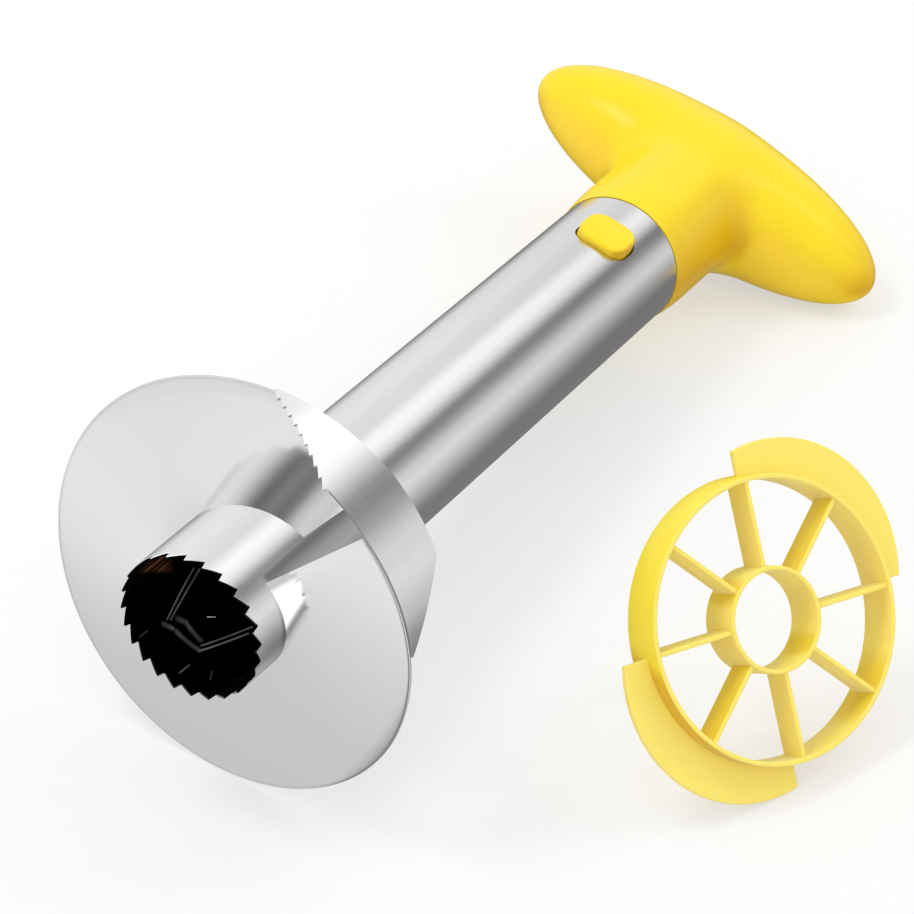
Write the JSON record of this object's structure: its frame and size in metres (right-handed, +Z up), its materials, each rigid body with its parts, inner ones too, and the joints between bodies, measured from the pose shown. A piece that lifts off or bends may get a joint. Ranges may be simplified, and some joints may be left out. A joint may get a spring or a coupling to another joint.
{
  "type": "pineapple corer slicer",
  "caption": "Lever-handled pineapple corer: steel tube with a spiral slicing blade and saw-toothed mouth, T-bar handle, release buttons and a loose wedge ring",
  "frame": {"origin": "middle of the base of the whole part's box, on the worktop", "axes": "+Z up, +Y along the level direction of the corer's axis from the mouth to the handle, +X to the side where the wedge ring lies"},
  "size_m": [0.161, 0.2502, 0.0893],
  "materials": {
    "polished_steel": "polished steel tube with a fine lengthwise grain",
    "blade_steel": "pale mirror-like sheet steel",
    "screw_steel": "plain bright steel",
    "yellow_gloss": "bright yellow moulded plastic, satin gloss",
    "yellow_satin": "bright yellow moulded plastic, satin"
  },
  "bodies": {
    "corer": {"core_tube": "polished_steel", "spiral_blade": "blade_steel", "rim_blade": "blade_steel", "handle_body": "yellow_gloss", "handle_plug": "yellow_satin", "handle_screw": "screw_steel", "screw_cap": "yellow_gloss"},
    "button_top": {"release_button_top": "yellow_gloss", "button_spring_top": "screw_steel"},
    "button_bottom": {"release_button_bottom": "yellow_gloss", "button_spring_bottom": "screw_steel"},
    "wedge_ring": {"wedge_rim": "yellow_satin", "wedge_hub": "yellow_satin", "wedge_spoke_1": "yellow_satin", "wedge_spoke_2": "yellow_satin", "wedge_spoke_3": "yellow_satin", "wedge_spoke_4": "yellow_satin", "wedge_spoke_5": "yellow_satin", "wedge_spoke_6": "yellow_satin", "wedge_spoke_7": "yellow_satin", "wedge_spoke_8": "yellow_satin", "wedge_grip_low": "yellow_satin", "wedge_grip_high": "yellow_satin"}
  },
  "joints": [
    {"name": "press_top_button", "type": "slide", "parent": "corer", "child": "button_top", "axis": [-0.3015, -0.1003, -0.9482], "range_m": [0, 0.0038], "stiffness_N_per_m": 400, "springref_m": -0.002},
    {"name": "press_bottom_button", "type": "slide", "parent": "corer", "child": "button_bottom", "axis": [0.3015, 0.1003, 0.9482], "range_m": [0, 0.0038], "stiffness_N_per_m": 400, "springref_m": -0.002},
    {"name": "lift_wedge_ring", "type": "slide", "parent": "corer", "child": "wedge_ring", "axis": [0, 0, 1], "range_m": [0, 0.12]}
  ]
}
